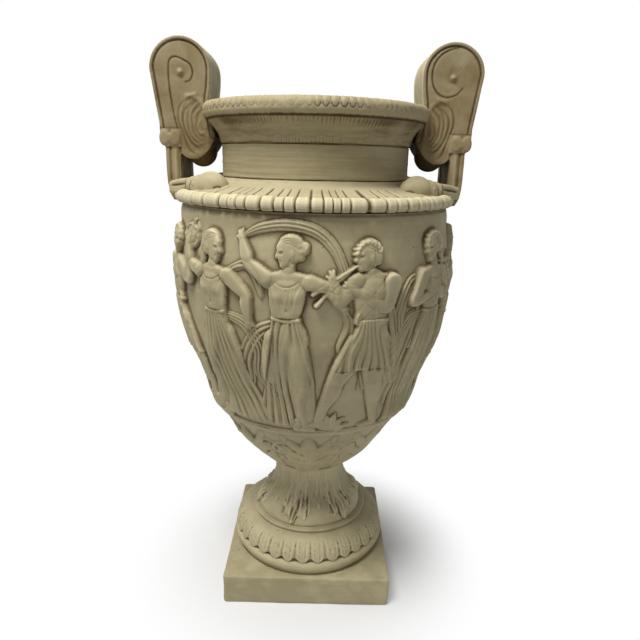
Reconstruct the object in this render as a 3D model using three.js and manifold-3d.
// Volute-handled plaster urn: separate castings stacked on a square plinth and drawn together by a tie rod.
// Millimetres, +Z up, origin at the centre of the plinth's underside, handles along X, front towards -Y.
import * as THREE from 'three';
import { mergeVertices } from 'three/addons/utils/BufferGeometryUtils.js';
import Module from 'manifold-3d';

const wasm = await Module();
wasm.setup();

// Plinth
const plinth_margin = 3.5;
const plinth_height = 48;
const plinth_corner_radius = 5;
const nut_recess_margin = 5;

// Round foot with its leaf moulding and bead
const foot_height = 61;
const foot_radius = 124.5;
const foot_fillet_height = 23;
const foot_fillet_inset = 3;
const foot_bead_radius = 93;
const foot_bead_thickness = 3.5;

// Trumpet stem
const stem_height = 82;
const stem_bead_step = 5;
const stem_bell_radius = 83;
const stem_bell_rise = 16;
const stem_throat_radius = 69;
const stem_throat_rise = 31.5;
const stem_waist_radius = 56;
const stem_waist_rise = 62;
const stem_top_spread = 1.5;

// Bowl, taken over the crests of its relief
const bowl_height = 412.5;
const belly_radius = 209;
const belly_height = 318;
const bowl_top_inset = 13;
const bowl_seat_step = 2.5;
const bowl_fullness = 1.8;
const bowl_flare = 0.8;
const bowl_turn_in = 3;
const bowl_wall = 20;
const bowl_floor_thickness = 34;
const bowl_rim_wall = 19;
const bowl_seam_rise = 116;
const seam_lip_share = 0.5;
const seam_lip_height = 6;

// Shoulder with its ring of tongues
const tongue_overhang = 4;
const tongue_ring_height = 18;
const shoulder_height = 35;
const shoulder_thickness = 14;
const neck_foot_spread = 10.5;
const neck_foot_drop = 6.8;
const neck_foot_bead = 1.8;

// Neck and flared rim
const neck_radius = 133;
const neck_height = 43.3;
const neck_wall = 14;
const collar_step = 1.2;
const collar_spread = 19.3;
const collar_height = 31.5;
const collar_hollow = 1.5;
const lip_overhang = 5;
const lip_height = 22;
const lip_round = 9;
const lip_width = 22.5;
const mouth_edge = 4;
const mouth_flare_height = 34;

// Volute handles: reaches are measured from the urn's axis, rises from the piece named
const handle_depth = 80;
const volute_radius = 41;
const volute_reach_past_lip = 23.2;
const volute_rise_over_rim = 39.7;
const handle_neck_drop_below_rim = 27.3;
const strap_outside_ring = 6;
const strap_foot_outside_ring = 3;
const strap_thickness = 20.5;
const strap_bend_rise = 39.5;
const roll_rise = 73;
const roll_height = 23;
const roll_outer_step = 8.5;
const roll_inner_step = 1.5;
const roll_bevel = 4;
const web_low_rise = 56.5;
const web_low_gap = 18.5;
const web_root_clearance = 0.6;
const web_root_rise = 2.2;
const lip_bite = 13.5;
const keel_gap = 22.5;
const keel_half_length = 21;
const keel_half_width = 33;
const keel_half_height = 22;
const keel_rise = 46.5;
const volute_eye_radius = 4.6;
const volute_eye_height = 2;
const volute_eye_drop = 3.5;

// Bird heads on the shoulder beside each strap
const bird_head_off_neck = 23;
const bird_head_bearing = 29.5;
const bird_turn = 36;
const bird_head_length = 46;
const bird_head_width = 36;
const bird_head_height = 45;
const bird_head_sink = 4;
const bird_bill_length = 56;
const bird_bill_width = 19;
const bird_bill_height = 17;
const bird_bill_shift = 30;
const bird_bill_sink = 4;

// Steelwork inside
const tie_rod_diameter = 12;
const rod_end_gap = 4;
const thread_stand_out = 7;
const nut_width_ratio = 1.58;
const nut_height = 10;
const washer_diameter = 50;
const washer_thickness = 3;
const dowel_diameter = 6;
const rim_dowel_rise = 24.2;
const rim_dowel_cover = 9;
const rim_dowel_past_lip = 13.5;
const foot_dowel_cover = 6.8;
const foot_dowel_offset = 20;
const foot_dowel_length = 46;
const foot_dowel_floor = 4;

// Fits
const clearance = 0.3;
const bore_clearance = 1;
const spigot_depth = 6;
const foot_spigot_radius = 60;
const stem_spigot_radius = 40;
const bowl_spigot_radius = 32;
const shoulder_lip_depth = 6;
const shoulder_lip_thickness = 6;
const shoulder_lip_root = 2;
const neck_spigot_depth = 8;
const neck_spigot_thickness = 5;

// Facets
const round_sides = 40;
const small_round_sides = 16;
const quarter_points = 3;
const curve_steps = 10;
const corner_steps = 6;
const join_overlap = 1;

// Heights of the joints between the castings
const foot_base = plinth_height;
const stem_base = foot_base + foot_height;
const bowl_base = stem_base + stem_height;
const shoulder_base = bowl_base + bowl_height;
const neck_base = shoulder_base + shoulder_height;
const rim_base = neck_base + neck_height;
const rim_top = rim_base + collar_height + lip_height;
const bowl_seam = bowl_base + bowl_seam_rise;

// Radii that neighbours share
const plinth_side = 2 * (foot_radius + plinth_margin);
const stem_base_radius = foot_bead_radius - stem_bead_step;
const bowl_seat_radius = stem_waist_radius + stem_top_spread + bowl_seat_step;
const bowl_top_radius = belly_radius - bowl_top_inset;
const bowl_mouth_radius = bowl_top_radius - bowl_rim_wall;
const tongue_ring_radius = bowl_top_radius + tongue_overhang;
const neck_foot_radius = neck_radius + neck_foot_spread;
const neck_bore_radius = neck_radius - neck_wall;
const neck_spigot_radius = neck_bore_radius + neck_spigot_thickness;
const collar_base_radius = neck_radius + collar_step;
const collar_top_radius = collar_base_radius + collar_spread;
const lip_radius = collar_top_radius + lip_overhang;
const mouth_radius = lip_radius - lip_width;
const strap_outer = tongue_ring_radius + strap_outside_ring;
const strap_inner = strap_outer - strap_thickness;
const bore_radius = tie_rod_diameter / 2 + bore_clearance;
const dowel_hole_radius = dowel_diameter / 2 + clearance;
const nut_recess_radius = washer_diameter / 2 + nut_recess_margin;
const nut_recess_depth = rod_end_gap + thread_stand_out + nut_height + washer_thickness;

const plaster = { color: 0x9a8f73, roughness: 0.82, metalness: 0 };
const steel = { color: 0x8d8f92, roughness: 0.45, metalness: 1 };

const urn = new THREE.Group();

function solidFrom(geometry) {
  const bare = geometry.clone();
  bare.deleteAttribute('normal');
  bare.deleteAttribute('uv');
  const merged = mergeVertices(bare, 1e-3);
  return new wasm.Manifold(new wasm.Mesh({
    numProp: 3,
    vertProperties: Float32Array.from(merged.attributes.position.array),
    triVerts: Uint32Array.from(merged.index.array),
  }));
}

function geometryFrom(solid) {
  const mesh = solid.getMesh();
  const geometry = new THREE.BufferGeometry();
  geometry.setAttribute('position', new THREE.BufferAttribute(Float32Array.from(mesh.vertProperties), 3));
  geometry.setIndex(new THREE.BufferAttribute(Uint32Array.from(mesh.triVerts), 1));
  geometry.computeVertexNormals();
  return geometry;
}

function addPiece(name, geometry, finish) {
  const mesh = new THREE.Mesh(geometry, new THREE.MeshStandardMaterial(finish));
  mesh.name = name;
  urn.add(mesh);
}

// A closed outline of [radius, height] points, turned about the Z axis. The outline runs anticlockwise.
function turned(outline, sides = round_sides) {
  const points = outline.map(([radius, height]) => new THREE.Vector2(radius, height));
  points.push(points[0].clone());
  return new THREE.LatheGeometry(points, sides).rotateX(Math.PI / 2);
}

function rod(radius, low, high, sides = small_round_sides) {
  const geometry = new THREE.CylinderGeometry(radius, radius, high - low, sides);
  return geometry.rotateX(Math.PI / 2).translate(0, 0, (low + high) / 2);
}

// An upright outline in the X-Z plane, extruded evenly to both sides of Y = 0
function slab(shape, depth) {
  const settings = { depth, bevelEnabled: false, curveSegments: curve_steps };
  return new THREE.ExtrudeGeometry(shape, settings).rotateX(Math.PI / 2).translate(0, depth / 2, 0);
}

function arc(centre_radius, centre_height, radius, from_degrees, to_degrees, count = quarter_points) {
  const points = [];
  for (let i = 0; i <= count; i += 1) {
    const angle = THREE.MathUtils.degToRad(from_degrees + (to_degrees - from_degrees) * i / count);
    points.push([centre_radius + radius * Math.cos(angle), centre_height + radius * Math.sin(angle)]);
  }
  return points;
}

function makePlinth() {
  const half = plinth_side / 2;
  const corner = plinth_corner_radius;
  const shape = new THREE.Shape();
  shape.moveTo(-half + corner, -half);
  shape.lineTo(half - corner, -half);
  shape.absarc(half - corner, -half + corner, corner, -Math.PI / 2, 0);
  shape.lineTo(half, half - corner);
  shape.absarc(half - corner, half - corner, corner, 0, Math.PI / 2);
  shape.lineTo(-half + corner, half);
  shape.absarc(-half + corner, half - corner, corner, Math.PI / 2, Math.PI);
  shape.lineTo(-half, -half + corner);
  shape.absarc(-half + corner, -half + corner, corner, Math.PI, Math.PI * 1.5);
  const block = new THREE.ExtrudeGeometry(shape, {
    depth: plinth_height,
    bevelEnabled: false,
    curveSegments: corner_steps,
  });
  const socket_floor = plinth_height - spigot_depth - clearance;
  const socket = rod(foot_spigot_radius + clearance, socket_floor, plinth_height + join_overlap, round_sides);
  const bore = rod(bore_radius, -join_overlap, plinth_height + join_overlap);
  const recess = rod(nut_recess_radius, -join_overlap, nut_recess_depth, small_round_sides * 2);
  let solid = solidFrom(block);
  for (const cut of [socket, bore, recess]) {
    solid = solid.subtract(solidFrom(cut));
  }
  addPiece('plinth', geometryFrom(solid), plaster);
}

function makeFoot() {
  const moulding_top = stem_base - 2 * foot_bead_thickness;
  const leaf_start = foot_base + foot_fillet_height;
  const outline = [
    [bore_radius, foot_base - spigot_depth],
    [foot_spigot_radius, foot_base - spigot_depth],
    [foot_spigot_radius, foot_base],
    [foot_radius - foot_fillet_inset, foot_base],
    [foot_radius, leaf_start],
  ];
  const leaf_steps = 5;
  for (let i = 1; i <= leaf_steps; i += 1) {
    const turn = (Math.PI / 2) * i / leaf_steps;
    const radius = foot_bead_radius + (foot_radius - foot_bead_radius) * Math.cos(turn);
    outline.push([radius, leaf_start + (moulding_top - leaf_start) * Math.sin(turn)]);
  }
  outline.push(...arc(foot_bead_radius, stem_base - foot_bead_thickness, foot_bead_thickness, -60, 90));
  outline.push(
    [stem_spigot_radius + clearance, stem_base],
    [stem_spigot_radius + clearance, stem_base - spigot_depth - clearance],
    [bore_radius, stem_base - spigot_depth - clearance],
  );
  addPiece('foot', turned(outline), plaster);
}

function makeStem() {
  const flank = new THREE.SplineCurve([
    new THREE.Vector2(stem_base_radius, stem_base),
    new THREE.Vector2(stem_bell_radius, stem_base + stem_bell_rise),
    new THREE.Vector2(stem_throat_radius, stem_base + stem_throat_rise),
    new THREE.Vector2(stem_waist_radius, stem_base + stem_waist_rise),
    new THREE.Vector2(stem_waist_radius + stem_top_spread, bowl_base),
  ]);
  const outline = [
    [bore_radius, stem_base - spigot_depth],
    [stem_spigot_radius, stem_base - spigot_depth],
    [stem_spigot_radius, stem_base],
    ...flank.getPoints(8).map((point) => [point.x, point.y]),
    [bowl_spigot_radius, bowl_base],
    [bowl_spigot_radius, bowl_base + spigot_depth],
    [bore_radius, bowl_base + spigot_depth],
  ];
  addPiece('stem', turned(outline), plaster);
}

// Radius over the relief at a height above the bowl's seat
function bowlRadius(height) {
  if (height < belly_height) {
    const drop = (belly_height - height) / belly_height;
    return bowl_seat_radius + (belly_radius - bowl_seat_radius) * (1 - drop ** bowl_fullness) ** bowl_flare;
  }
  const rise = (height - belly_height) / (bowl_height - belly_height);
  return bowl_top_radius + (belly_radius - bowl_top_radius) * (1 - rise ** bowl_turn_in);
}

// The outside's direction at a height above the seat
function bowlSlope(height) {
  const step = bowl_height / 1000;
  const low = Math.max(height - step, 0);
  const high = Math.min(height + step, bowl_height);
  return new THREE.Vector2(bowlRadius(high) - bowlRadius(low), high - low).normalize();
}

// Radius of the inner face, a wall's thickness square to the outside, under the straight mouth
function bowlInnerRadius(height) {
  if (height > bowl_height - bowl_wall) {
    return bowl_mouth_radius;
  }
  let outer_height = height;
  const passes = 20;
  for (let i = 0; i < passes; i += 1) {
    outer_height = Math.max(height - bowl_wall * bowlSlope(outer_height).x, 0);
  }
  return bowlRadius(outer_height) - bowl_wall * bowlSlope(outer_height).y;
}

// Points of a face of the bowl from a low height to a high one, closer together towards the seat
function bowlFace(radiusAt, low, high, rings) {
  const ring_crowding = 1.2;
  const points = [];
  for (let i = 0; i <= rings; i += 1) {
    const height = low + (high - low) * (i / rings) ** ring_crowding;
    points.push([radiusAt(height), bowl_base + height]);
  }
  return points;
}

// Radius that parts the seam's inner lip, which hangs into the lower section, from the ledge round it
function seamLipRadius() {
  const inner = bowlInnerRadius(bowl_seam_rise);
  return inner + (bowlRadius(bowl_seam_rise) - inner) * seam_lip_share;
}

function makeBowlLower() {
  const lip_seat = bowl_seam_rise - seam_lip_height - clearance;
  const floor_share = 0.8;
  const floor_level = bowl_base + bowl_floor_thickness;
  const floor_corner = bowl_floor_thickness * 1.05;
  const inside = bowlFace(bowlInnerRadius, floor_corner, lip_seat, 5).reverse();
  const floor_radius = inside[inside.length - 1][0] * floor_share;
  const outline = [
    [bowl_spigot_radius + clearance, bowl_base],
    ...bowlFace(bowlRadius, 0, bowl_seam_rise, 7),
    [seamLipRadius() + clearance, bowl_seam],
    [seamLipRadius() + clearance, bowl_base + lip_seat],
    ...inside,
    [floor_radius, floor_level],
    [bore_radius, floor_level],
    [bore_radius, bowl_base + spigot_depth + clearance],
    [bowl_spigot_radius + clearance, bowl_base + spigot_depth + clearance],
  ];
  addPiece('bowl_lower', turned(outline), plaster);
}

function makeBowlUpper() {
  const lip_foot = bowl_seam_rise - seam_lip_height;
  const inside = bowlFace(bowlInnerRadius, lip_foot, bowl_height - bowl_wall, 8).reverse();
  const outline = [
    [seamLipRadius(), bowl_base + lip_foot],
    [seamLipRadius(), bowl_seam],
    ...bowlFace(bowlRadius, bowl_seam_rise, bowl_height, 10),
    [bowl_mouth_radius, shoulder_base],
    ...inside,
  ];
  addPiece('bowl_upper', turned(outline), plaster);
}

// The shoulder's upper face from under the ring of tongues to the neck
function shoulderTop() {
  const edge_radius = tongue_ring_height / 2;
  return [
    ...arc(tongue_ring_radius - edge_radius, shoulder_base + edge_radius, edge_radius, -90, 75, 6),
    [neck_foot_radius, neck_base - neck_foot_drop],
    [neck_radius + neck_foot_bead, neck_base - neck_foot_bead],
  ];
}

function makeShoulder() {
  const lip_radius_out = bowl_mouth_radius - clearance;
  const lip_low = shoulder_base - shoulder_lip_depth;
  const outline = [
    [lip_radius_out - shoulder_lip_thickness, lip_low],
    [lip_radius_out, lip_low],
    [lip_radius_out, shoulder_base],
    ...shoulderTop(),
    [neck_radius, neck_base],
    [neck_spigot_radius + clearance, neck_base],
    [neck_spigot_radius + clearance, neck_base - neck_spigot_depth - clearance],
    [neck_bore_radius, neck_base - neck_spigot_depth - clearance],
    [neck_bore_radius, neck_base - shoulder_thickness - neck_spigot_depth],
    [lip_radius_out - shoulder_lip_thickness, shoulder_base + shoulder_lip_root],
  ];
  let solid = solidFrom(turned(outline));
  for (const place of footDowelPlaces()) {
    const hole = rod(dowel_hole_radius, place.floor - clearance, neck_base);
    solid = solid.subtract(solidFrom(hole.translate(place.x, place.y, 0)));
  }
  addPiece('shoulder', geometryFrom(solid), plaster);
}

function makeNeck() {
  const outline = [
    [neck_bore_radius, neck_base - neck_spigot_depth],
    [neck_spigot_radius, neck_base - neck_spigot_depth],
    [neck_spigot_radius, neck_base],
    [neck_radius, neck_base],
    [neck_radius, rim_base],
    [neck_spigot_radius + clearance, rim_base],
    [neck_spigot_radius + clearance, rim_base - neck_spigot_depth - clearance],
    [neck_bore_radius, rim_base - neck_spigot_depth - clearance],
  ];
  addPiece('neck', turned(outline), plaster);
}

// The rim's outer face from the collar's foot to the lip's top edge
function rimFace() {
  const face = [[collar_base_radius, rim_base]];
  const hollow_steps = 5;
  for (let i = 1; i <= hollow_steps; i += 1) {
    const rise = i / hollow_steps;
    const radius = collar_base_radius + (collar_top_radius - collar_base_radius) * rise ** collar_hollow;
    face.push([radius, rim_base + collar_height * rise]);
  }
  const lip_centre = lip_radius - lip_round;
  face.push(...arc(lip_centre, rim_top - lip_height + lip_round, lip_round, -70, 0, 3));
  face.push(...arc(lip_centre, rim_top - lip_round, lip_round, 20, 90, 3));
  return face;
}

// An outline that runs upwards, moved outwards by a gap
function grown(outline, gap) {
  const normals = outline.slice(1).map(([radius, height], i) => {
    const [radius_before, height_before] = outline[i];
    return new THREE.Vector2(height - height_before, radius_before - radius).normalize();
  });
  return outline.map(([radius, height], i) => {
    const arriving = normals[Math.max(i - 1, 0)];
    const leaving = normals[Math.min(i, normals.length - 1)];
    const outwards = arriving.clone().add(leaving);
    outwards.multiplyScalar(2 * gap / outwards.lengthSq());
    return [radius + outwards.x, height + outwards.y];
  });
}

function makeRim() {
  const outline = [
    [neck_bore_radius, rim_base - neck_spigot_depth],
    [neck_spigot_radius, rim_base - neck_spigot_depth],
    [neck_spigot_radius, rim_base],
    ...rimFace(),
    [mouth_radius, rim_top],
    [mouth_radius - mouth_edge, rim_top - mouth_edge],
    [neck_bore_radius + mouth_edge, rim_top - mouth_flare_height / 2],
    [neck_bore_radius, rim_top - mouth_flare_height],
  ];
  let solid = solidFrom(turned(outline));
  for (const side of [-1, 1]) {
    const dowel = rimDowelSpan();
    const hole = rod(dowel_hole_radius, dowel.start - clearance, dowel.end);
    solid = solid.subtract(solidFrom(hole.rotateY(side * Math.PI / 2).translate(0, 0, dowel.height)));
  }
  addPiece('rim', geometryFrom(solid), plaster);
}

// What a handle must stay clear of: the rim, the neck and the shoulder, each grown by the clearance
function neighbourSolid() {
  const faces = [
    ...shoulderTop(),
    [neck_radius, neck_base],
    [neck_radius, rim_base - clearance],
    ...rimFace(),
  ];
  const outline = [
    [0, shoulder_base - clearance],
    [tongue_ring_radius - tongue_ring_height / 2, shoulder_base - clearance],
    ...grown(faces, clearance).slice(1),
    [0, rim_top + clearance],
  ];
  const points = outline.map(([radius, height]) => new THREE.Vector2(radius, height));
  return solidFrom(new THREE.LatheGeometry(points, round_sides).rotateX(Math.PI / 2));
}

function voluteShape() {
  const reach = lip_radius + volute_reach_past_lip;
  const rise = rim_top + volute_rise_over_rim;
  const roll_top = shoulder_base + roll_rise + roll_height;
  const neck_reach = strap_outer + roll_outer_step - roll_inner_step;
  const web_low = shoulder_base + web_low_rise;
  const shape = new THREE.Shape();
  shape.moveTo(strap_inner, roll_top - join_overlap);
  shape.lineTo(neck_reach, roll_top - join_overlap);
  shape.lineTo(neck_reach, rim_top - handle_neck_drop_below_rim);
  shape.lineTo(reach + volute_radius, rise);
  shape.absarc(reach, rise, volute_radius, 0, Math.PI, false);
  shape.quadraticCurveTo(reach - volute_radius, (rise + rim_top) / 2, lip_radius - lip_bite, rim_top);
  shape.lineTo(collar_base_radius + web_root_clearance, rim_base + web_root_rise);
  const web_reach = strap_inner - web_low_gap;
  shape.quadraticCurveTo((web_reach + collar_base_radius) / 2, web_low, web_reach, web_low);
  shape.quadraticCurveTo(strap_inner, web_low, strap_inner, shoulder_base + roll_rise);
  return shape;
}

function strapShape() {
  const top = shoulder_base + roll_rise + join_overlap;
  const bend = shoulder_base + strap_bend_rise;
  const foot_reach = tongue_ring_radius + strap_foot_outside_ring;
  const shape = new THREE.Shape();
  shape.moveTo(strap_inner, top);
  shape.lineTo(strap_inner, shoulder_base + join_overlap);
  shape.lineTo(foot_reach, shoulder_base + join_overlap);
  shape.quadraticCurveTo(foot_reach, (shoulder_base + bend) / 2, strap_outer, bend);
  shape.lineTo(strap_outer, top);
  return shape;
}

function collarRoll() {
  const low = shoulder_base + roll_rise;
  const high = low + roll_height;
  const inner = strap_inner - roll_inner_step;
  const outer = strap_outer + roll_outer_step;
  const bevel = roll_bevel;
  const shape = new THREE.Shape();
  shape.moveTo(inner, low + bevel);
  shape.lineTo(inner + bevel, low);
  shape.lineTo(outer - bevel, low);
  shape.lineTo(outer, low + bevel);
  shape.lineTo(outer, high - bevel);
  shape.lineTo(outer - bevel, high);
  shape.lineTo(inner + bevel, high);
  shape.lineTo(inner, high - bevel);
  return slab(shape, handle_depth + 2 * roll_inner_step);
}

function rimDowelSpan() {
  return {
    start: neck_bore_radius + rim_dowel_cover,
    end: lip_radius + rim_dowel_past_lip,
    height: rim_base + rim_dowel_rise,
  };
}

function footDowelPlaces() {
  const places = [];
  for (const side of [-1, 1]) {
    for (const face of [-1, 1]) {
      places.push({
        name: `foot_dowel_${side < 0 ? 'left' : 'right'}_${face < 0 ? 'front' : 'rear'}`,
        x: side * (strap_inner + foot_dowel_cover),
        y: face * foot_dowel_offset,
        floor: shoulder_base + foot_dowel_floor,
      });
    }
  }
  return places;
}

function makeHandles() {
  const keel = new THREE.SphereGeometry(1, 12, 8).rotateX(Math.PI / 2);
  keel.scale(keel_half_length, keel_half_width, keel_half_height);
  keel.translate(strap_inner - keel_gap, 0, shoulder_base + keel_rise + keel_half_height);
  let right = solidFrom(slab(voluteShape(), handle_depth));
  right = right.add(solidFrom(slab(strapShape(), handle_depth)));
  right = right.add(solidFrom(collarRoll()));
  right = right.add(solidFrom(keel));
  const eye_span = handle_depth / 2 + volute_eye_height;
  const eyes = rod(volute_eye_radius, -eye_span, eye_span, 16).rotateX(Math.PI / 2);
  const eye_reach = lip_radius + volute_reach_past_lip;
  const eye_height = rim_top + volute_rise_over_rim - volute_eye_drop;
  right = right.add(solidFrom(eyes.translate(eye_reach, 0, eye_height)));
  right = right.subtract(neighbourSolid());
  const dowel = rimDowelSpan();
  const rim_hole = rod(dowel_hole_radius, dowel.start, dowel.end + clearance).rotateY(Math.PI / 2);
  right = right.subtract(solidFrom(rim_hole.translate(0, 0, dowel.height)));
  for (const place of footDowelPlaces().filter((spot) => spot.x > 0)) {
    const hole = rod(dowel_hole_radius, shoulder_base, place.floor + foot_dowel_length + clearance);
    right = right.subtract(solidFrom(hole.translate(place.x, place.y, 0)));
  }
  const left = right.rotate([0, 0, 180]);
  addPiece('handle_right', geometryFrom(right), plaster);
  addPiece('handle_left', geometryFrom(left), plaster);
  return { left, right };
}

function makeDowels() {
  for (const side of [-1, 1]) {
    const dowel = rimDowelSpan();
    const geometry = rod(dowel_diameter / 2, dowel.start, dowel.end).rotateY(side * Math.PI / 2);
    addPiece(`rim_dowel_${side < 0 ? 'left' : 'right'}`, geometry.translate(0, 0, dowel.height), steel);
  }
  for (const place of footDowelPlaces()) {
    const geometry = rod(dowel_diameter / 2, place.floor, place.floor + foot_dowel_length);
    addPiece(place.name, geometry.translate(place.x, place.y, 0), steel);
  }
}

// A bird's head laid on the shoulder: domed crown towards the neck, bill towards the strap's foot
function birdBlank() {
  const crown = new THREE.SphereGeometry(0.5, 12, 8);
  crown.scale(bird_head_length, bird_head_width, bird_head_height);
  const bill = new THREE.SphereGeometry(0.5, 12, 8);
  bill.scale(bird_bill_length, bird_bill_width, bird_bill_height);
  bill.translate(bird_bill_shift, 0, -bird_bill_sink);
  return solidFrom(crown).add(solidFrom(bill));
}

function makeBirdHeads(handles) {
  const reach = neck_foot_radius + bird_head_off_neck;
  const bearing = THREE.MathUtils.degToRad(bird_head_bearing);
  const level = neck_base - neck_foot_drop - bird_head_sink;
  for (const side of [-1, 1]) {
    for (const face of [-1, 1]) {
      const heading = side > 0 ? -face * bird_turn : 180 + face * bird_turn;
      let bird = birdBlank().rotate([0, 0, heading]);
      bird = bird.translate([side * reach * Math.cos(bearing), face * reach * Math.sin(bearing), level]);
      bird = bird.subtract(neighbourSolid());
      const handle = side < 0 ? handles.left : handles.right;
      for (const shift of [[0, clearance * face, 0], [clearance, 0, 0], [-clearance, 0, 0]]) {
        bird = bird.subtract(handle.translate(shift));
      }
      const name = `bird_head_${side < 0 ? 'left' : 'right'}_${face < 0 ? 'front' : 'rear'}`;
      addPiece(name, geometryFrom(bird), plaster);
    }
  }
}

function makeTieRod() {
  const bowl_floor = bowl_base + bowl_floor_thickness;
  const rod_top = bowl_floor + washer_thickness + nut_height + thread_stand_out;
  addPiece('tie_rod', rod(tie_rod_diameter / 2, rod_end_gap, rod_top), steel);
  const washer_spots = { upper: bowl_floor, lower: nut_recess_depth - washer_thickness };
  const nut_spots = { upper: bowl_floor + washer_thickness, lower: washer_spots.lower - nut_height };
  const nut_radius = tie_rod_diameter * nut_width_ratio / Math.sqrt(3);
  for (const place of ['upper', 'lower']) {
    const washer = [
      [tie_rod_diameter / 2 + clearance, washer_spots[place]],
      [washer_diameter / 2, washer_spots[place]],
      [washer_diameter / 2, washer_spots[place] + washer_thickness],
      [tie_rod_diameter / 2 + clearance, washer_spots[place] + washer_thickness],
    ];
    addPiece(`${place}_washer`, turned(washer, small_round_sides), steel);
    const nut_low = nut_spots[place];
    const nut_high = nut_low + nut_height;
    const blank = rod(nut_radius, nut_low, nut_high, 6);
    const thread = rod(tie_rod_diameter / 2 + clearance, nut_low - join_overlap, nut_high + join_overlap);
    addPiece(`${place}_nut`, geometryFrom(solidFrom(blank).subtract(solidFrom(thread))), steel);
  }
}

makePlinth();
makeFoot();
makeStem();
makeBowlLower();
makeBowlUpper();
makeShoulder();
makeNeck();
makeRim();
const handles = makeHandles();
makeDowels();
makeBirdHeads(handles);
makeTieRod();

export default urn;
